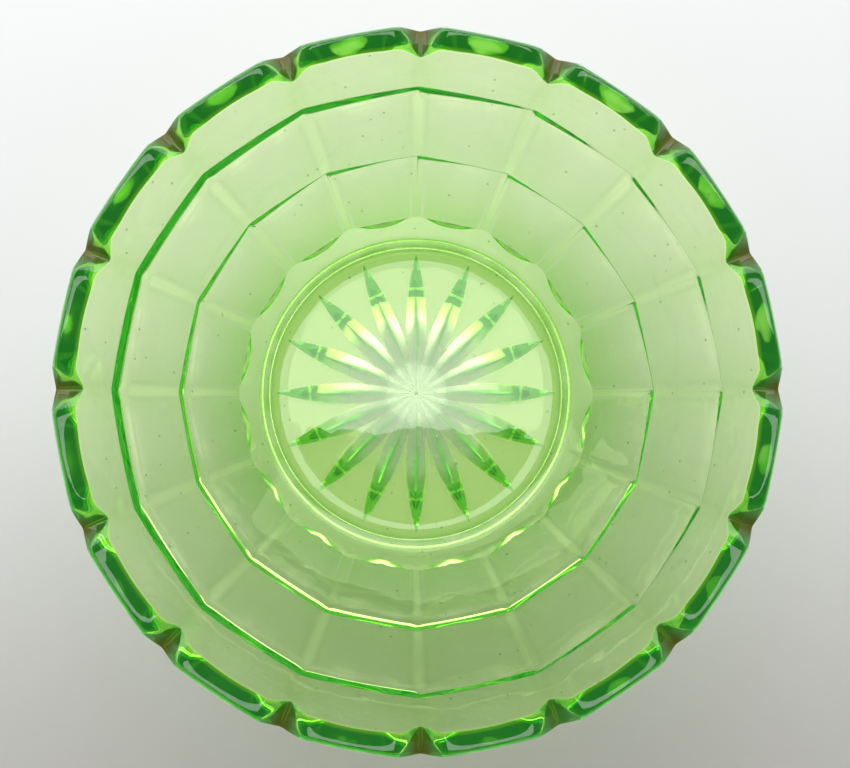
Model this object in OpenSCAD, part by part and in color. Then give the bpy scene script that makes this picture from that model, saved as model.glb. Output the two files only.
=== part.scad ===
// Pressed glass dish with sixteen panels in three stepped tiers.
// Millimetres, +Z up, the foot ring stands on Z = 0 and the axis is X = Y = 0.

/* [Overall] */
// Height of the rim's crests above the table
dish_h = 76; // [60:1:100]
// Flats round the side, one star ray and one rim notch to each corner
panels = 16; // [12:1:20]
// Half the distance across flats at the rim
rim_a = 109.4; // [90:0.2:130]

/* [Tiers] */
// Half across flats where the lower tier starts
lower_a = 64.6; // [56:0.2:72]
// Half across flats where the middle tier starts
middle_a = 82.2; // [74:0.2:90]
// Half across flats where the upper tier starts
upper_a = 99.2; // [90:0.2:105]
// Height where the middle tier starts
middle_z = 27; // [22:0.5:32]
// Height where the upper tier starts
upper_z = 51.6; // [44:0.5:58]
// Height of the small riser at the foot of a tier
riser_h = 2; // [1:0.1:4]
// Width of the ledge under a riser, at the sharp corner of its cove
ledge_w = 1.3; // [1:0.1:3]
// Radius of the cove under a ledge
cove_r = 1.8; // [0.5:0.1:2]
// How far the corners between panels are eased back
corner_ease = 0.25; // [0.1:0.05:0.6]
// Radius on the lower edge of a riser
edge_r = 0.4; // [0.2:0.1:0.6]

/* [Base] */
// Height of the inside floor, where the lower tier starts
floor_z = 7.2; // [5:0.1:10]
// Height of the recessed underside
under_z = 2.4; // [1.5:0.1:4]
// Inside radius of the foot ring
foot_in = 53.8; // [48:0.2:56]
// Outside radius of the foot ring
foot_out = 57.4; // [56:0.2:62]
// Radius of the star base, where it runs into the heel
base_r = 52; // [51:0.2:54]
// Radius of the round heel where it meets the lower tier
heel_r = 63.4; // [60:0.2:66]

/* [Star] */
// Length of one ray from the middle
ray_l = 50; // [40:0.2:51]
// How far the rays run on past the middle, which sets the dimple there
star_lead = 1.5; // [0.5:0.1:4]
// Half width of a ray at its middle
ray_w = 3.4; // [2:0.1:4]
// Depth of a ray at its middle
ray_d = 2.6; // [1.5:0.1:3.5]

/* [Inside] */
// Radius where the fillet of the floor runs into the wall
wall_r = 57.4; // [52:0.2:60]
// Lean of the wall above level at that place, in degrees
wall_lean = 41.5; // [36:0.5:48]
// Radius of the fillet between floor and wall
fillet_r = 17; // [10:1:24]
// Inside radius at the rim
mouth_r = 103.8; // [86:0.1:126]

/* [Rim] */
// Height of the separate rim band
band_h = 8; // [6:0.5:12]
// Drop of the top edge from a panel's middle to its notches
arch_d = 0.9; // [0.3:0.1:1.5]
// Depth of a notch below the shoulders
notch_d = 4.8; // [2:0.2:6]
// Half width of a notch at the shoulders
notch_w = 5.9; // [3:0.1:8]
// Radius in the bottom of a notch
notch_r = 1.4; // [0.5:0.1:3]
// Width of the outer bevel along the top
bevel_w = 2; // [0.8:0.1:2.5]
// Drop of the outer bevel
bevel_d = 1.8; // [0.5:0.1:2]

/* [Hidden] */
half_step = 180 / panels;
over = 1;
reach = 60;
round_fn = 180;
arc_r = arc_radius();
arc_c = [wall_r - arc_r * sin(wall_lean), wall_z() + arc_r * cos(wall_lean)];
fillet_c = [wall_r - fillet_r * sin(wall_lean), floor_z + fillet_r];
band_z = dish_h - band_h;
band_a = upper_a + (rim_a - upper_a) * (band_z - upper_z) / (dish_h - upper_z);
glass_green = [0.62, 0.86, 0.5];
deep_green = [0.25, 0.72, 0.35];

// Height where the fillet runs into the wall
function wall_z() = floor_z + fillet_r * (1 - cos(wall_lean));

// One arc leaves the fillet at the given lean and ends at the mouth
function arc_radius() =
    let (run = mouth_r - wall_r, rise = dish_h - wall_z())
    norm([run, rise]) / (2 * sin(atan2(rise, run) - wall_lean));

// Radius through the corners, eased back
function corner_r(a) = a / cos(half_step) - corner_ease;

// Section of the hollow inside, to be cut from every wall
module hollow_section() {
    translate([0, floor_z]) square([fillet_c[0], dish_h]);
    translate(fillet_c) circle(r = fillet_r, $fn = round_fn);
    intersection() {
        translate(arc_c) circle(r = arc_r, $fn = round_fn);
        translate([0, wall_z()]) square([2 * mouth_r, dish_h]);
    }
}

// Ring turned from an outside line, with the hollow taken out
module turned_wall(z0, z1, r0, r1) {
    rotate_extrude($fn = round_fn)
        difference() {
            polygon([[base_r, z0], [r0, z0], [r1, z1], [base_r, z1]]);
            hollow_section();
        }
}

// Cuts the same flat on every panel, from a section drawn as radius and height
module flats_cut() {
    for (i = [0 : panels - 1])
        rotate([90, 0, (i + 0.5) * 360 / panels])
            translate([0, 0, -reach / 2])
                linear_extrude(height = reach) children();
}

// Space outside a stepped tier: slope, cove, ledge and the riser above it
module step_section(a0, z0, a1, z1) {
    low = z1 - riser_h;
    knee = a1 - ledge_w;
    lean = atan2(low - z0, knee - a0);
    back = cove_r * tan(lean / 2);
    far = a1 + reach;
    slope_x = (knee - a0) / (low - z0);
    polygon([
        [a0 - over * slope_x, z0 - over],
        [knee - back * cos(lean), low - back * sin(lean)],
        [knee + back, low],
        [a1, low],
        [a1, z1 + over],
        [far, z1 + over],
        [far, z0 - over]
    ]);
    translate([knee + back, low - cove_r]) circle(r = cove_r, $fn = round_fn);
    difference() {
        translate([a1 - edge_r, low - over]) square([edge_r, edge_r + over]);
        translate([a1 - edge_r, low + edge_r]) circle(r = edge_r, $fn = round_fn);
    }
}

module stepped_tier(a0, z0, a1, z1) {
    difference() {
        turned_wall(z0, z1, corner_r(a1), corner_r(a1));
        flats_cut() step_section(a0, z0, a1, z1);
        corner_cut(a0, z0, a1, z1);
    }
}

// Eases the corners back along the slope of the flats
module corner_cut(a0, z0, a1, z1) {
    low = z1 - riser_h;
    knee = a1 - ledge_w;
    slope_x = (knee - a0) / (low - z0);
    rotate_extrude($fn = round_fn)
        polygon([
            [corner_r(a0 - over * slope_x), z0 - over],
            [corner_r(knee), low],
            [corner_r(a1) + reach, low],
            [corner_r(a1) + reach, z0 - over]
        ]);
}

module foot_ring() {
    edge = 1.1;
    color(glass_green)
        rotate_extrude($fn = round_fn) {
            translate([foot_in, edge]) square([foot_out - foot_in, under_z - edge]);
            translate([foot_in + edge, 0]) square([foot_out - foot_in - 2 * edge, under_z]);
            translate([foot_in + edge, edge]) circle(r = edge, $fn = round_fn);
            translate([foot_out - edge, edge]) circle(r = edge, $fn = round_fn);
        }
}

// Half width of a ray at a distance from the axis, full at its middle
function leaf(x) =
    let (t = (x + star_lead) / (ray_l + star_lead))
    ray_w * 4 * t * (1 - t);

// A point of the star, from its ray, its distance along it and off it, and its height
function star_point(i, x, y, z) =
    let (turn = i * 2 * half_step)
    [x * cos(turn) - y * sin(turn), x * sin(turn) + y * cos(turn), under_z + z];

// The star's hollow as one body: V grooves that run together round the middle
module star_hollow() {
    dip = 0.3;
    pitch = ray_d / ray_w;
    steps = [for (t = [0, 0.13, 0.25, 0.4, 0.55, 0.7, 0.85, 1]) t * ray_l];
    n = len(steps) - 1;
    wide = [for (x = steps) leaf(x) + dip / pitch];
    spare = [for (j = [0 : n]) wide[j] - steps[j] * tan(half_step)];
    m = len([for (v = spare) if (v > 0) v]) - 1;
    part_x = steps[m] + (steps[m + 1] - steps[m]) * spare[m] / (spare[m] - spare[m + 1]);
    block = 3 * n - m + 1;
    points = [
        [0, 0, under_z + leaf(0) * pitch],
        for (i = [0 : panels - 1]) each [
            for (j = [1 : n]) star_point(i, steps[j], 0, leaf(steps[j]) * pitch),
            for (j = [1 : m]) star_point(i, steps[j], steps[j] * tan(half_step), spare[j] * pitch - dip),
            star_point(i, part_x, part_x * tan(half_step), -dip),
            for (j = [m + 1 : n]) star_point(i, steps[j], wide[j], -dip),
            for (j = [m + 1 : n]) star_point(i, steps[j], -wide[j], -dip)
        ]
    ];
    faces = [
        for (i = [0 : panels - 1])
            let (
                here = 1 + i * block,
                back = 1 + ((i + panels - 1) % panels) * block,
                keel = function(j) j == 0 ? 0 : here + j - 1,
                left = function(j) here + n + j - 1,
                right = function(j) back + n + j - 1,
                left_edge = function(j) here + n + j,
                right_edge = function(j) here + 2 * n + j - m
            )
            each [
                [left(1), keel(1), 0],
                [0, keel(1), right(1)],
                for (j = [1 : m - 1]) [left(j), left(j + 1), keel(j + 1), keel(j)],
                for (j = [1 : m - 1]) [keel(j), keel(j + 1), right(j + 1), right(j)],
                [left(m), left(m + 1), left_edge(m + 1), keel(m + 1), keel(m)],
                [keel(m), keel(m + 1), right_edge(m + 1), right(m + 1), right(m)],
                for (j = [m + 1 : n - 1]) [left_edge(j), left_edge(j + 1), keel(j + 1), keel(j)],
                for (j = [m + 1 : n - 1]) [keel(j), keel(j + 1), right_edge(j + 1), right_edge(j)],
                [right_edge(n), keel(n), left_edge(n)]
            ],
        [for (i = [0 : panels - 1]) each [
            for (j = [m + 1 : n]) 1 + i * block + 2 * n + j - m,
            for (j = [n : -1 : m + 1]) 1 + i * block + n + j,
            1 + i * block + n + m
        ]]
    ];
    polyhedron(points = points, faces = faces);
}

module star_base() {
    color(deep_green)
        difference() {
            rotate_extrude($fn = round_fn)
                difference() {
                    translate([0, under_z]) square([base_r, 2 * floor_z]);
                    hollow_section();
                    translate([0, floor_z + 1.5]) square([base_r + over, 3 * floor_z]);
                }
            star_hollow();
        }
}

module heel() {
    color(glass_green)
        rotate_extrude($fn = round_fn)
            polygon([
                [base_r, under_z],
                [foot_out, under_z],
                [foot_out + 0.8, under_z + 0.9],
                [heel_r, floor_z - 1.2],
                [heel_r, floor_z],
                [base_r, floor_z]
            ]);
}

module lower_tier() {
    color(glass_green) stepped_tier(lower_a, floor_z, middle_a, middle_z);
}

module middle_tier() {
    color(glass_green) stepped_tier(middle_a, middle_z, upper_a, upper_z);
}

module upper_tier() {
    slope_x = (band_a - upper_a) / (band_z - upper_z);
    color(glass_green)
        difference() {
            turned_wall(upper_z, band_z, corner_r(upper_a), corner_r(band_a));
            flats_cut()
                polygon([
                    [upper_a - over * slope_x, upper_z - over],
                    [band_a + over * slope_x, band_z + over],
                    [band_a + reach, band_z + over],
                    [band_a + reach, upper_z - over]
                ]);
        }
}

// Space above the scalloped top edge round one corner, as width and height
module notch_section() {
    pitch = rim_a * sin(half_step);
    arch_r = pitch * pitch / (2 * arch_d);
    shoulder = dish_h - arch_d;
    difference() {
        translate([-pitch - over, shoulder - over]) square([2 * pitch + 2 * over, over + reach]);
        for (side = [-1, 1])
            translate([side * pitch, dish_h - arch_r]) circle(r = arch_r, $fn = round_fn);
    }
    polygon([
        [-notch_w, shoulder + over],
        [-notch_w, shoulder + 0.1],
        [-notch_r * 0.7, shoulder - notch_d + notch_r * 0.3],
        [notch_r * 0.7, shoulder - notch_d + notch_r * 0.3],
        [notch_w, shoulder + 0.1],
        [notch_w, shoulder + over]
    ]);
    translate([0, shoulder - notch_d + notch_r]) circle(r = notch_r, $fn = round_fn);
}

module rim() {
    slope_x = (rim_a - band_a) / band_h;
    color(deep_green)
        difference() {
            turned_wall(band_z, dish_h, corner_r(band_a), corner_r(rim_a));
            flats_cut()
                polygon([
                    [band_a - over * slope_x, band_z - over],
                    [rim_a - bevel_d * slope_x, dish_h - bevel_d],
                    [rim_a - bevel_w, dish_h],
                    [rim_a - bevel_w, dish_h + over],
                    [rim_a + reach, dish_h + over],
                    [rim_a + reach, band_z - over]
                ]);
            for (i = [0 : panels - 1])
                rotate([90, 0, i * 360 / panels + 90])
                    translate([0, 0, mouth_r - 2 * bevel_w - 8])
                        linear_extrude(height = reach) notch_section();
            rotate_extrude($fn = round_fn)
                polygon([
                    [mouth_r - 3, dish_h - 2.2],
                    [mouth_r + 1.8, dish_h + 0.05],
                    [mouth_r - 3, dish_h + over]
                ]);
        }
}

foot_ring();
star_base();
heel();
lower_tier();
middle_tier();
upper_tier();
rim();
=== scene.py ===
import math

import bmesh
import bpy
import numpy as np
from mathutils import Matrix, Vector


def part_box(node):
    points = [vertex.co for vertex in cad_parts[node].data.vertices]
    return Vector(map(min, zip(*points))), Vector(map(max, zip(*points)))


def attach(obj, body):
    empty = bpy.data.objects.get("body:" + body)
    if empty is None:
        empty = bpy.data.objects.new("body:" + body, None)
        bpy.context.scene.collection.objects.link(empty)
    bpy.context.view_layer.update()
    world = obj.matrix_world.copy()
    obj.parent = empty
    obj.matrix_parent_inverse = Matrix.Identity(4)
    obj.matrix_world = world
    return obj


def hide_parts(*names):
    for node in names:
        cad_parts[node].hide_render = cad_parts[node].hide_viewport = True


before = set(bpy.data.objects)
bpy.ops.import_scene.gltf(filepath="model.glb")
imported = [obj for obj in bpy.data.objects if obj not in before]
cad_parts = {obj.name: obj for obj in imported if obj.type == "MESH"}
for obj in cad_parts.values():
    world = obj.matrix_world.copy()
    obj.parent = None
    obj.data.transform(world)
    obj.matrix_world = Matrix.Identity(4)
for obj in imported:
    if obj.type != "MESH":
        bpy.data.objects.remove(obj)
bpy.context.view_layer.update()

scene = bpy.context.scene
print("frame loaded, nodes:", ", ".join(sorted(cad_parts)))


class Wire:
    # wraps a shader socket so that sums on it become Math nodes
    def __init__(self, bench, socket):
        self.bench, self.socket = bench, socket

    def maths(self, operation, first, second):
        return self.bench.node("ShaderNodeMath", {"operation": operation}, {0: first, 1: second})

    def __add__(self, other):
        return self.maths("ADD", self, other)

    def __radd__(self, other):
        return self.maths("ADD", other, self)

    def __sub__(self, other):
        return self.maths("SUBTRACT", self, other)

    def __rsub__(self, other):
        return self.maths("SUBTRACT", other, self)

    def __mul__(self, other):
        return self.maths("MULTIPLY", self, other)

    def __rmul__(self, other):
        return self.maths("MULTIPLY", other, self)


class Bench:
    # one node tree; every node is made by node(), settings first and then its sockets
    def __init__(self, tree):
        self.tree = tree
        tree.nodes.clear()

    def node(self, kind, settings=None, sockets=None, out=0):
        made = self.tree.nodes.new(kind)
        for name, value in (settings or {}).items():
            setattr(made, name, value)
        for key, value in (sockets or {}).items():
            if isinstance(value, Wire):
                self.tree.links.new(value.socket, made.inputs[key])
            else:
                made.inputs[key].default_value = value
        return Wire(self, made.outputs[out]) if made.outputs else None

    def mix(self, share, first, second):
        return self.node("ShaderNodeMix", {"data_type": "RGBA"}, {0: share, 6: first, 7: second}, out=2)

    def step(self, value, low, high):
        return self.node("ShaderNodeMapRange", {"interpolation_type": "SMOOTHSTEP"},
                         {"Value": value, "From Min": low, "From Max": high})


# the dish: lengths in millimetres, angles in degrees
mm = 0.001
panels = 16
halfStep = math.pi / panels
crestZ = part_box("rim")[1][2] / mm

dish = {
    "cornerRound": 4.0,                 # radius of the eased corner between two flats
    "lower": (64.6, 7.2),               # half across flats and height where each tier starts
    "middle": (82.2, 27.0),
    "upper": (99.2, 51.6),
    "rimFlat": 111.7,
    "ledge": 1.5, "cove": 2.4,
    "middleRiser": (2.3, 1.9, 235, 1.5),  # riser height, sway, where it is tallest, skew along each flat
    "upperRiser": (2.9, 2.4, 185, 1.3),
    "draft": 0.2,                       # lean of the risers, run over rise
    "edgeRound": 0.35,
    "creaseRadius": 90, "creaseWide": 2.4,  # width of the painted pale highlight lines between flats, with painted shade beside them, at that radius
    "dash": 3.3, "dashRun": 0.95, "dashShare": 0.74,    # lens shaped risers over the heel, share of a flat
    "heelMid": (60.0, 4.2), "heelCorner": (62.9, 5.6),
    # radius and height of points down the outside of the foot ring and up its inside
    "footOutline": ((58.4, 3.5), (58.0, 3.25), (57.7, 2.8), (57.5, 2.1), (57.35, 1.3), (57.0, 0.65),
                    (56.6, 0.25), (56.1, 0.04), (55.6, 0.0), (55.1, 0.04), (54.6, 0.25), (54.25, 0.65),
                    (54.0, 1.3), (53.8, 1.9), (53.5, 2.25), (53.1, 2.38), (52.6, 2.4)),
    "under": 2.4,
    "rayLong": 51.0, "rayWide": 3.7, "rayDeep": 3.5, "rayLead": 1.2,
    "rayPitch": 40, "tipPitch": 47,     # slope of a ray's two sides, inside and towards its tip
    "wallFoot": 57.4, "wallLean": 41.5, "fillet": 17.0, "floor": 7.2, "mouth": 103.4,
    "plainTo": 66,                      # height where the inside starts to turn towards the notches
    "notchDeep": 4.8, "notchHalf": 3.3, "arch": 0.9,
    "bevel": 2.1, "bevelDrop": 3.6, "outerPull": 0.5,   # outside of the rim, from its ridge to the flat
    "innerDrop": 1.0, "innerExtra": 0.85, "innerPull": 0.7,    # inside of the rim, more in mid flat
}

perArc, perFlat = 4, 22
perPanel = 2 * perArc + perFlat
around = panels * perPanel

place = np.arange(around)
which, within = place // perPanel, place % perPanel
cornerTurn = np.where(within < perArc, which, which + 1) * 2 * halfStep
middleTurn = (which + 0.5) * 2 * halfStep
onArc = (within < perArc) | (within >= perArc + perFlat)
arcShare = np.where(within < perArc, within / perArc, (within - perPanel) / perArc)
flatShare = -1 + 2 * (within - perArc) / perFlat
evenTurn = (which + within / perPanel) * 2 * halfStep


def offCorner(turn):
    return (turn + halfStep) % (2 * halfStep) - halfStep


def soft(value, edge):
    return 0.5 * (value + np.sqrt(value * value + edge * edge))


def smooth(value, low, high):
    t = np.clip((value - low) / (high - low), 0, 1)
    return t * t * (3 - 2 * t)


def flatRing(flat):
    # radius and turn round a ring with flats, from half its width across them
    ease = dish["cornerRound"]
    flat = np.broadcast_to(np.asarray(flat, float), (around,))
    heart = (flat - ease) / math.cos(halfStep)
    alongArc = heart + ease * np.cos(arcShare * halfStep)
    acrossArc = ease * np.sin(arcShare * halfStep)
    acrossFlat = flatShare * (flat - ease) * math.tan(halfStep)
    radius = np.where(onArc, np.hypot(alongArc, acrossArc), np.hypot(flat, acrossFlat))
    turn = np.where(onArc, cornerTurn + np.arctan2(acrossArc, alongArc),
                    middleTurn + np.arctan2(acrossFlat, flat))
    return radius, turn


def wallArc():
    lean = math.radians(dish["wallLean"])
    startZ = dish["floor"] + dish["fillet"] * (1 - math.cos(lean))
    run, rise = dish["mouth"] - dish["wallFoot"], crestZ - startZ
    size = math.hypot(run, rise) / (2 * math.sin(math.atan2(rise, run) - lean))
    return size, dish["wallFoot"] - size * math.sin(lean), startZ + size * math.cos(lean), startZ


arcSize, arcX, arcZ, wallStart = wallArc()


def insideRadius(z):
    return arcX + np.sqrt(arcSize ** 2 - (arcZ - z) ** 2)


def tierLine(low, high, z):
    return low[0] + (high[0] - low[0]) * (z - low[1]) / (high[1] - low[1])


# marks on the skin: besides real stain, wear and frosting, they place painted light on the base, rim edges,
# creases, ledges, star centre and notch stain, and painted shade beside the creases and down the lower
# tiers
markNames = ("stain", "worn", "glow", "crease", "frost", "deep", "edge")


class Skin:
    # rings of points joined one to the next into a closed skin
    def __init__(self):
        self.points, self.rings, self.marks = [], [], {name: [] for name in markNames}

    def ring(self, radius, turn, z, **marks):
        radius, z = np.broadcast_to(radius, (around,)), np.broadcast_to(z, (around,))
        self.rings.append(len(self.points))
        self.points += [(r * math.cos(t) * mm, r * math.sin(t) * mm, h * mm)
                        for r, t, h in zip(radius, turn, z)]
        for name, store in self.marks.items():
            store += list(np.broadcast_to(marks.get(name, 0.0), (around,)))
        return radius, turn, z

    def build(self, name, topZ, lowZ):
        faces = []
        for first, second in zip(self.rings[:-1], self.rings[1:]):
            for i in range(around):
                j = (i + 1) % around
                faces.append((first + i, second + i, second + j, first + j))
        top, low = len(self.points), len(self.points) + 1
        self.points += [(0, 0, topZ * mm), (0, 0, lowZ * mm)]
        for store in self.marks.values():
            store += [0.0, 0.0]
        for i in range(around):
            j = (i + 1) % around
            faces.append((top, self.rings[0] + i, self.rings[0] + j))
            faces.append((low, self.rings[-1] + j, self.rings[-1] + i))
        mesh = bpy.data.meshes.new(name)
        mesh.from_pydata(self.points, [], faces)
        for mark, store in self.marks.items():
            mesh.attributes.new(mark, "FLOAT", "POINT").data.foreach_set("value", store)
        return mesh


def creaseAt(turn):
    # 1 along the edge between two flats, fading within a few millimetres; it places the painted pale
    # highlight there and painted shade beside it
    return np.exp(-(offCorner(turn) * dish["creaseRadius"] / dish["creaseWide"]) ** 2)


def shareOfCorner(turn):
    # 1 on a corner, 0 in the middle of a flat
    return 1 - np.abs(offCorner(turn)) / halfStep


def topLine(turn):
    # the rim's crest, arched over each flat and notched at each corner
    fromCorner = np.abs(offCorner(turn))
    notch = math.radians(dish["notchHalf"])
    dip = soft(1 - np.sqrt(fromCorner ** 2 + (0.16 * notch) ** 2) / notch, 0.14)
    return crestZ - dish["arch"] * shareOfCorner(turn) ** 2 - dish["notchDeep"] * dip


def riserHeight(name, turn):
    mean, sway, peak, skew = dish[name]
    facing = np.cos(turn - math.radians(peak))
    alongFlat = np.where(onArc, -arcShare, flatShare)   # -1 to 1 over a flat, and back round the corner
    height = mean + sway * facing + skew * (1 - facing) * 0.5 * alongFlat
    return np.clip(height, 0.3, None) * (1 - 0.12 * smooth(shareOfCorner(turn), 0.85, 1))


def addInside(skin):
    flatOut = dish["wallFoot"] - dish["fillet"] * math.sin(math.radians(dish["wallLean"]))
    for radius in (5, 14, 24, 34, 41, flatOut):
        skin.ring(radius, evenTurn, dish["floor"])
    for i in range(1, 13):
        lean = math.radians(dish["wallLean"]) * i / 12
        z = dish["floor"] + dish["fillet"] * (1 - math.cos(lean))
        skin.ring(flatOut + dish["fillet"] * math.sin(lean), evenTurn, z)
    for z in np.linspace(wallStart, dish["plainTo"], 30)[1:]:
        skin.ring(insideRadius(z), evenTurn, z)


def bend(first, pull, last, t):
    # a point of a curve that leaves first towards pull and comes to last from it
    return (1 - t) ** 2 * first + 2 * t * (1 - t) * pull + t * t * last


def addRim(skin):
    turns = flatRing(dish["rimFlat"])[1]
    off = np.abs(offCorner(turns))
    stub = smooth(off, 0, math.radians(dish["notchHalf"]) * 1.2)      # 0 in a notch, 1 on the full rim
    middle = smooth(1 - shareOfCorner(turns), 0.22, 0.6)              # 1 over the middle of a flat
    crest = topLine(turns)
    innerZ = crest - 0.15 - (dish["innerDrop"] + dish["innerExtra"] * middle) * stub
    innerR = insideRadius(innerZ)
    for share in (0.25, 0.5, 0.75, 0.92):
        turn = evenTurn + (turns - evenTurn) * share
        z = dish["plainTo"] + (innerZ - dish["plainTo"]) * share
        skin.ring(insideRadius(z), turn, z)
    outerZ = crest - dish["bevelDrop"] * (0.6 + 0.4 * stub)
    outerFlat = tierLine(dish["upper"], (dish["rimFlat"], crestZ), outerZ)
    outerR, outerTurn = flatRing(outerFlat)
    ridgeR = flatRing(outerFlat - dish["bevel"])[0]
    ridgeR = innerR + 0.2 + (ridgeR - innerR - 0.2) * stub
    # the notches carry a real brown stain, and a small painted warm light on it
    stain = (1 - stub) ** 1.5
    for share in (0.03, 0.1, 0.2, 0.32, 0.45, 0.58, 0.7, 0.8, 0.9, 0.97):
        radius = bend(innerR, innerR + (ridgeR - innerR) * dish["innerPull"], ridgeR, share)
        z = bend(innerZ, crest - (crest - innerZ) * 0.1, crest, share)
        # edge: painted yellow-green light along the rim's inner edge
        skin.ring(radius, turns, z, stain=stain * share * 0.3,
                  edge=(1 - smooth(share, 0.06, 0.16)) * (0.4 + 0.6 * stub))
    for share in (0.05, 0.15, 0.27, 0.4, 0.53, 0.66, 0.78, 0.88, 0.95):
        radius = bend(ridgeR, ridgeR + (outerR - ridgeR) * dish["outerPull"], outerR, share)
        turn = turns + (outerTurn - turns) * share
        z = bend(crest, crest - (crest - outerZ) * 0.12, outerZ, share)
        # edge: painted green light where the outer bevel runs into the flat
        skin.ring(radius, turn, z, stain=stain * (0.4 + 0.6 * share),
                  edge=0.25 * smooth(share, 0.6, 0.9) * stub)
    lowFlat, lowZ = dish["upper"]
    # down the rim's outer face: the stain fades out, the corners get a painted highlight with painted shade
    # beside it, and a light painted shade grows towards the tier below
    for share in (0.006, 0.02, 0.06, 0.14, 0.24, 0.36, 0.5, 0.64, 0.78, 0.9, 0.97):
        z = outerZ + (lowZ - outerZ) * share
        flat = outerFlat + (lowFlat - outerFlat) * share
        radius, turn = flatRing(flat)
        skin.ring(radius, turn, z, stain=stain * max(0, 0.5 - share * 5),
                  crease=creaseAt(turn) * share * 0.6, deep=0.25 * share ** 2)


def addStep(skin, upper, lower, riser, lowShadeMost):
    # riser, rounded edge, ledge and cove, down to the slope of the tier below
    flat, top = dish[upper]
    lowFlat, lowZ = dish[lower]
    mean = dish[riser][0]
    rise = riserHeight(riser, flatRing(flat)[1])
    lean = (flat - dish["ledge"] - lowFlat) / (top - mean - lowZ)
    ledgeZ = top - rise
    edge = flat - dish["draft"] * rise
    knee = np.minimum(lowFlat + (ledgeZ - lowZ) * lean, edge - 0.25)
    slope = math.atan2(1, lean)
    back = np.minimum(dish["cove"] * math.tan(slope / 2), (edge - knee) * 0.8)
    rounding = np.minimum(dish["edgeRound"], rise * 0.4)
    skin.ring(*flatRing(flat), top)
    for share in (0.03, 0.3, 0.7):
        skin.ring(*flatRing(flat + (edge - flat) * share), top - (rise - rounding) * share)
    for degrees in (0, 30, 60, 90):
        lie = math.radians(degrees)
        skin.ring(*flatRing(edge - rounding * (1 - math.cos(lie))), ledgeZ + rounding * (1 - math.sin(lie)))
    startFlat, endFlat = knee + back, knee - back * math.cos(slope)
    endZ = ledgeZ - back * math.sin(slope)
    for i in range(9):
        t = i / 8
        radius, turn = flatRing(bend(startFlat, knee, endFlat, t))
        # painted glints along the ledge and cove, away from the corners; the same share roughens the glass
        # there
        scuffAndGlint = 0.7 * smooth(t, 0, 0.3) * (1 - smooth(t, 0.8, 1))
        scuffAndGlint = scuffAndGlint * (1 - smooth(shareOfCorner(turn), 0.5, 0.9))
        skin.ring(radius, turn, bend(ledgeZ, ledgeZ, endZ, t), worn=scuffAndGlint)
    # down the tier slope: the corners get a painted highlight with painted shade beside it, the top gets
    # painted glints with roughness, and painted shade deepens towards the foot
    for share in (0.04, 0.12, 0.25, 0.4, 0.55, 0.7, 0.83, 0.93, 0.98):
        radius, turn = flatRing(endFlat + (lowFlat - endFlat) * share)
        scuffAndGlint = 0.6 * (1 - smooth(share, 0, 0.2)) * (1 - smooth(shareOfCorner(turn), 0.45, 0.8))
        skin.ring(radius, turn, endZ + (lowZ - endZ) * share,
                  crease=creaseAt(turn), worn=scuffAndGlint, deep=lowShadeMost * share ** 0.8)


def addHeel(skin):
    flat, top = dish["lower"]
    radius, turn = flatRing(flat)
    lens = soft(1 - (shareOfCorner(turn) / dish["dashShare"]) ** 2, 0.05)
    lens = np.clip(lens - 0.02, 0, 1)
    drop = dish["dash"] * lens
    skin.ring(radius, turn, top)
    corner = shareOfCorner(turn) ** 2
    heelR = dish["heelMid"][0] + (dish["heelCorner"][0] - dish["heelMid"][0]) * corner
    heelZ = dish["heelMid"][1] + (dish["heelCorner"][1] - dish["heelMid"][1]) * corner
    # glow: share of painted base light, from the dash down to the foot
    for share in (0.04, 0.3, 0.7, 0.96):
        skin.ring(*flatRing(flat - dish["dashRun"] * share * lens), top - drop * share, glow=0.3)
    startR, startTurn = flatRing(flat - dish["dashRun"] * lens)
    startZ = top - drop
    for share, sag in ((0.05, 0.1), (0.3, 0.5), (0.6, 0.6), (0.9, 0.2)):
        z = startZ + (heelZ - startZ) * share - sag * 0.3
        skin.ring(startR + (heelR - startR) * share, startTurn, z, glow=0.4)
    skin.ring(heelR, startTurn, heelZ, glow=0.45)
    footR, footZ = dish["footOutline"][0]
    for share in (0.06, 0.3, 0.6):
        now = startTurn + (evenTurn - startTurn) * share
        skin.ring(heelR + (footR - heelR) * share, now, heelZ + (footZ - heelZ) * share, glow=0.5)


def addFoot(skin):
    # glow: painted base light over the foot ring
    for radius, z in dish["footOutline"]:
        # the foot's contact with the table is rubbed rough and also gets the painted glints
        skin.ring(radius, evenTurn, z, worn=max(0.0, 1 - z / 0.3), glow=0.6)


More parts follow.
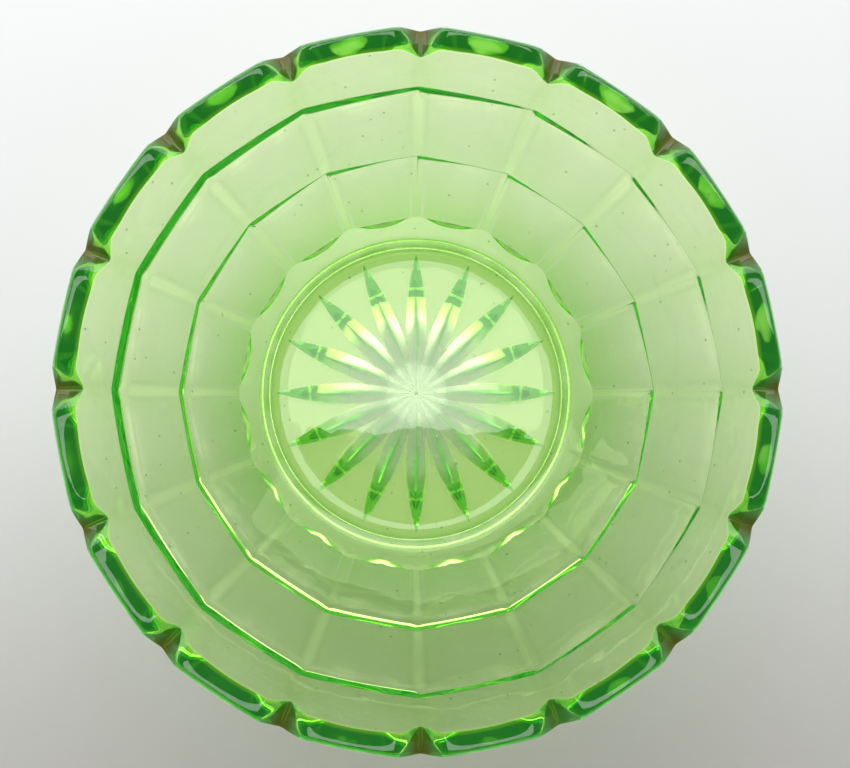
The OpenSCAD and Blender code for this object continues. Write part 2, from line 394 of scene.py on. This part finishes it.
def addStar(skin):
    long, wide, deep, lead = (dish[name] for name in ("rayLong", "rayWide", "rayDeep", "rayLead"))

    def leaf(along):
        t = np.clip((along + lead) / (long + lead), 0, 1)
        return wide * 4 * t * (1 - t)

    corners = which * 2 * halfStep
    halfCount = perPanel // 2
    edgeCount = 9
    # rings lie closer where the rays end and where they meet
    radii = [52.0, 51.3, 50.9, 50.4, 49.5, 48.8, 47.8, 46.4, 44.6, 42.5, 40, 37.5, 35, 32.5, 30, 27.5, 25,
             22.5, 20, 18, 16.5, 15.2, 14.2, 13.4, 12.8, 12.2, 11.4, 10.4, 9.2, 8, 6.6, 5.2, 3.8, 2.4, 1.2]
    for radius in radii:
        width = float(leaf(radius))
        edge = math.asin(min(1, width / radius)) if radius < long else 0.0
        edge = min(max(edge, halfStep * 0.03), halfStep * 0.985)
        mirrored = np.minimum(within, perPanel - within)
        inner = edge * np.minimum(mirrored, edgeCount) / edgeCount
        outer = (halfStep - edge) * np.clip(mirrored - edgeCount, 0, None) / (halfCount - edgeCount)
        off = inner + outer
        turn = corners + np.where(within <= halfCount, off, 2 * halfStep - off)
        steeper = dish["tipPitch"] - dish["rayPitch"]
        pitch = np.tan(np.radians(dish["rayPitch"] + steeper * smooth(radius / long, 0.3, 0.85)))
        depth = np.maximum(0, leaf(radius * np.cos(off)) - radius * np.sin(off)) * pitch
        if radius >= long:
            depth = depth * 0
        inRay = smooth(depth, 0, 0.25)
        # pale: the star's centre and the inner halves of the rays are roughened and also get painted pale
        # light
        pale = np.maximum(1 - smooth(radius, 4, 18), 0.35 * inRay * (1 - smooth(radius, 26, 40)))
        # glow: painted base light on the star base, fading to a tenth inside the rays
        skin.ring(radius, turn, dish["under"] + depth, glow=1 - 0.9 * inRay, frost=pale)
    return dish["under"] + float(leaf(0.0)) * deep / wide


def makeDish():
    skin = Skin()
    addInside(skin)
    addRim(skin)
    addStep(skin, "upper", "middle", "upperRiser", 0.35)
    addStep(skin, "middle", "lower", "middleRiser", 1.0)
    addHeel(skin)
    addFoot(skin)
    centreZ = addStar(skin)
    mesh = skin.build("dishGlass", dish["floor"], centreZ)
    work = bmesh.new()
    work.from_mesh(mesh)
    openEdges = sum(not edge.is_manifold for edge in work.edges)
    volume = work.calc_volume(signed=True) * 1e6
    print(f"dish mesh: {len(work.faces)} faces, {openEdges} open edges, {volume:.0f} cm3")
    work.free()
    mesh.polygons.foreach_set("use_smooth", [True] * len(mesh.polygons))
    mesh.set_sharp_from_angle(angle=math.radians(26))
    piece = bpy.data.objects.new("dishGlass", mesh)
    scene.collection.objects.link(piece)
    return piece


glass = {
    "absorbColour": (0.56, 0.945, 0.05, 1), "absorbDensity": 82.0,
    "bend": 1.52,
    # clear glass, the notch stain, and a painted shade for the bands beside the creases
    "clear": (1.0, 0.87, 0.98, 1), "stainColour": (0.25, 0.1, 0.01, 1), "paintedFlankShade": (0.87, 0.8, 0.83, 1),
    # painted shade, darker and greener, laid on the lower tiers; the dark spots of seeds in the glass
    "paintedLowShade": (0.6, 0.74, 0.4, 1), "seedTint": (0.15, 0.22, 0.1, 1),
    # a faint green emission on all the glass, partly the uranium's own fluorescence and partly painted
    # light; a stronger painted light on the star base, heel and foot, standing in for the bright table seen
    # through the base; a painted pale light on the star's centre
    "glow": (0.003, 0.028, 0.006, 1), "paintedBaseLight": (0.13, 0.22, 0.05, 1), "frostGlow": (0.2, 0.26, 0.19, 1),
    # a painted warm light on the notch stain; the stain's own deposit colour
    "stainGlow": (0.05, 0.03, 0.0, 1), "stainPaint": (0.13, 0.08, 0.005, 1),
    # painted pale highlight along the creases; painted pale glints on the ledges, coves and foot
    "paintedCreaseHighlight": (0.105, 0.12, 0.098, 1), "paintedGlint": (0.18, 0.2, 0.17, 1),
    # painted yellow-green light along the rim's edges
    "paintedEdgeLight": (0.08, 0.2, 0.0, 1),
}


def makeGlass():
    material = bpy.data.materials.new("uraniumGlass")
    material.use_nodes = True
    bench = Bench(material.node_tree)
    spot = bench.node("ShaderNodeTexCoord", out=3)
    stain, worn, glow, crease, frost, deep, edge = (
        bench.node("ShaderNodeAttribute", {"attribute_name": name}, out=2) for name in markNames)
    patchy = bench.node("ShaderNodeTexNoise", None, {"Vector": spot, "Scale": 30.0, "Detail": 3.0})
    stained = stain * bench.step(patchy, 0.25, 0.55)
    # painted shade: darker, greener glass towards the foot, standing in for the shadowed table seen through
    # the lower tiers
    tint = bench.mix(deep, glass["clear"], glass["paintedLowShade"])
    tint = bench.mix(stained, tint, glass["stainColour"])
    seeds = bench.node("ShaderNodeTexVoronoi", None, {"Vector": spot, "Scale": 140.0})
    tint = bench.mix(bench.step(seeds, 0.075, 0.04) * 0.8, tint, glass["seedTint"])
    # painted shade in bands beside each crease
    paintedFlankShade = bench.step(crease, 0.05, 0.25) * (1 - bench.step(crease, 0.3, 0.6))
    tint = bench.mix(paintedFlankShade, tint, glass["paintedFlankShade"])
    ripple = bench.node("ShaderNodeTexNoise", None, {"Vector": spot, "Scale": 55.0, "Detail": 2.0})
    bump = bench.node("ShaderNodeBump", None, {"Strength": 0.12, "Distance": 0.001, "Height": ripple})
    streaky = bench.node("ShaderNodeTexNoise", None, {"Vector": spot, "Scale": 90.0, "Detail": 4.0})
    # painted light: a faint green everywhere, partly the uranium's fluorescence, and a stronger green on
    # the star base, heel and foot standing in for the bright table seen through the base
    light = bench.mix(glow, glass["glow"], glass["paintedBaseLight"])
    # painted warm light on the brown stain in the notches
    light = bench.mix(stained, light, glass["stainGlow"])
    # painted pale light on the star's centre and ray insides, which are also roughened
    light = bench.mix(frost, light, glass["frostGlow"])
    # painted yellow-green light along the rim's inner edge and outer bevel
    light = bench.mix(edge, light, glass["paintedEdgeLight"])
    # painted pale highlight along each crease, broken up by noise
    broken = bench.step(crease, 0.4, 0.95) * (0.25 + bench.step(patchy, 0.35, 0.65))
    light = bench.mix(broken, light, glass["paintedCreaseHighlight"])
    # painted pale glints, streaked by noise, on the ledges, coves and foot
    light = bench.mix(worn * bench.step(streaky, 0.42, 0.6), light, glass["paintedGlint"])
    shader = bench.node("ShaderNodeBsdfPrincipled", None, {
        "Base Color": tint, "Roughness": worn * 0.25 + frost * 0.5, "IOR": glass["bend"],
        "Transmission Weight": 1.0, "Emission Color": light, "Emission Strength": 1.0, "Normal": bump})
    deposit = bench.node("ShaderNodeBsdfDiffuse", None, {"Color": glass["stainPaint"]})
    surface = bench.node("ShaderNodeMixShader", None, {0: stained * 0.6, 1: shader, 2: deposit})
    soak = bench.node("ShaderNodeVolumeAbsorption", None,
                      {"Color": glass["absorbColour"], "Density": glass["absorbDensity"]})
    bench.node("ShaderNodeOutputMaterial", None, {"Surface": surface, "Volume": soak})
    return material


dishGlass = makeDish()
dishGlass.data.materials.append(makeGlass())
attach(dishGlass, "root")
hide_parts("foot_ring", "star_base", "heel", "lower_tier", "middle_tier", "upper_tier", "rim")
print("glass finished")

# table, light and camera
studio = {
    # the table's second colour is painted shade, darker towards -y, away from the window
    "tableSide": 1.6, "tableColour": (0.84, 0.84, 0.85, 1), "paintedFrontShade": (0.58, 0.565, 0.535, 1),
    "sky": 0.68,
    "overheadPower": 1.2, "windowPower": 23.5,
}


def makeTable():
    mesh = bpy.data.meshes.new("table")
    side = studio["tableSide"]
    corners = [(-side, -side, 0), (side, -side, 0), (side, side, 0), (-side, side, 0)]
    mesh.from_pydata(corners, [], [(0, 1, 2, 3)])
    table = bpy.data.objects.new("table", mesh)
    scene.collection.objects.link(table)
    material = bpy.data.materials.new("paleTable")
    material.use_nodes = True
    bench = Bench(material.node_tree)
    spot = bench.node("ShaderNodeTexCoord", out=3)
    away = bench.node("ShaderNodeSeparateXYZ", None, {"Vector": spot}, out=1)
    # painted shade: the table darkens from its pale colour at the back to a greyer colour at the front
    colour = bench.mix(bench.step(away, -0.19, 0.03), studio["paintedFrontShade"], studio["tableColour"])
    shader = bench.node("ShaderNodeBsdfPrincipled", None, {"Base Color": colour, "Roughness": 0.8})
    bench.node("ShaderNodeOutputMaterial", None, {"Surface": shader})
    mesh.materials.append(material)


def makeSoftbox(name, spot, target, width, height, power):
    lamp = bpy.data.lights.new(name, "AREA")
    lamp.shape, lamp.size, lamp.size_y, lamp.energy = "RECTANGLE", width, height, power
    holder = bpy.data.objects.new(name, lamp)
    scene.collection.objects.link(holder)
    holder.location = spot
    holder.rotation_euler = (Vector(target) - Vector(spot)).to_track_quat("-Z", "Y").to_euler()


def makeSky():
    world = bpy.data.worlds.new("softRoom")
    world.use_nodes = True
    scene.world = world
    bench = Bench(world.node_tree)
    facing = bench.node("ShaderNodeTexCoord", out=0)
    up = bench.node("ShaderNodeSeparateXYZ", None, {"Vector": facing}, out=2)
    away = bench.node("ShaderNodeSeparateXYZ", None, {"Vector": facing}, out=1)
    level = (0.85 + 0.45 * away) * (1 - 0.8 * bench.step(up, 0.62, 0.92))
    back = bench.node("ShaderNodeBackground", None,
                      {"Color": (1, 1, 1, 1), "Strength": level * studio["sky"]})
    bench.node("ShaderNodeOutputWorld", None, {"Surface": back})


makeTable()
makeSky()
makeSoftbox("overhead", (0.02, 0.09, 1.1), (0.02, 0.09, 0.0), 0.42, 0.24, studio["overheadPower"])
makeSoftbox("window", (-0.1, 0.8, 0.46), (0.0, 0.05, 0.0), 3.4, 0.92, studio["windowPower"])

view = {"eye": (-0.008, -0.008, 0.406), "tiltBack": 1.623, "tiltRight": 1.597, "lens": 46.9}
camera = bpy.data.cameras.new("camera")
camera.lens, camera.sensor_width = view["lens"], 36.0
holder = bpy.data.objects.new("camera", camera)
scene.collection.objects.link(holder)
holder.location = view["eye"]
holder.rotation_euler = (math.radians(view["tiltBack"]), -math.radians(view["tiltRight"]), 0)
scene.camera = holder
scene.view_settings.view_transform = "Standard"
scene.cycles.max_bounces = 24
scene.cycles.transmission_bounces = 24
scene.cycles.diffuse_bounces = 3
print("stage set")
